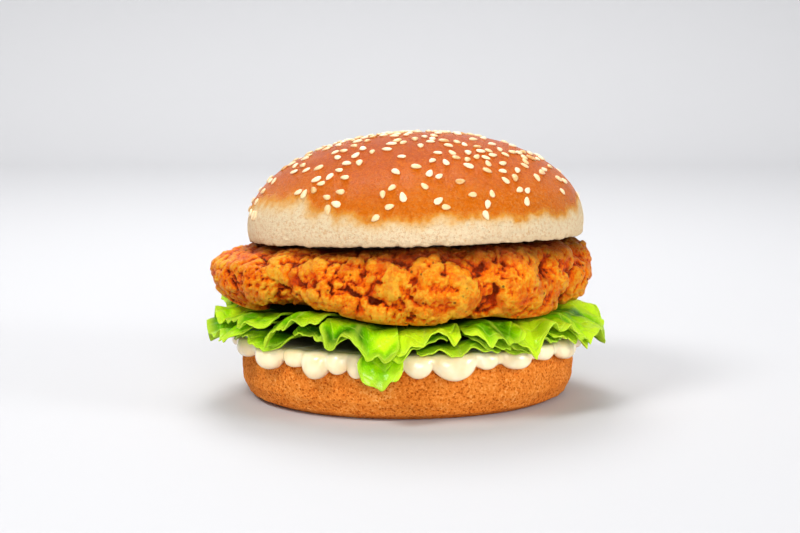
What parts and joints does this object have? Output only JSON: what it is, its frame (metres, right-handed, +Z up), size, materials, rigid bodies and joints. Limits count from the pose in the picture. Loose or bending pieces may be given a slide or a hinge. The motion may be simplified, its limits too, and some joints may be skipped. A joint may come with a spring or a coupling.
{
  "type": "chicken burger",
  "caption": "Chicken burger: a domed sesame bun crown and a flat bun heel round a craggy fried chicken fillet, ruffled lettuce leaves and squeezed-out mayonnaise.",
  "frame": {"origin": "middle of the flat underside of the bun heel, on the surface that the burger stands on", "axes": "+Z up, +X to the right and -Y towards the viewer in the pictured view"},
  "size_m": [0.1241, 0.1237, 0.0834],
  "materials": {
    "bun_crust": "egg-washed crust",
    "bun_crumb": "dry toasted crumb",
    "breading": "crisp oily crust",
    "lettuce": "fresh wet leaf",
    "mayonnaise": "smooth and wet"
  },
  "bodies": {
    "root": {"bun_heel": "bun_crumb", "mayonnaise": "mayonnaise", "lettuce_leaf_1": "lettuce", "lettuce_leaf_2": "lettuce", "lettuce_leaf_3": "lettuce", "lettuce_leaf_4": "lettuce", "lettuce_leaf_5": "lettuce", "lettuce_leaf_6": "lettuce", "lettuce_leaf_7": "lettuce", "lettuce_leaf_8": "lettuce", "lettuce_leaf_9": "lettuce", "lettuce_leaf_10": "lettuce", "lettuce_leaf_11": "lettuce", "lettuce_leaf_12": "lettuce", "lettuce_leaf_13": "lettuce", "lettuce_leaf_14": "lettuce", "lettuce_leaf_15": "lettuce", "lettuce_leaf_16": "lettuce", "lettuce_leaf_17": "lettuce", "lettuce_leaf_18": "lettuce", "lettuce_leaf_19": "lettuce", "lettuce_leaf_20": "lettuce", "lettuce_leaf_21": "lettuce", "lettuce_leaf_22": "lettuce", "lettuce_leaf_23": "lettuce", "lettuce_leaf_24": "lettuce", "lettuce_leaf_25": "lettuce", "lettuce_leaf_26": "lettuce", "chicken_fillet": "breading", "bun_crown": "bun_crust"}
  },
  "joints": []
}
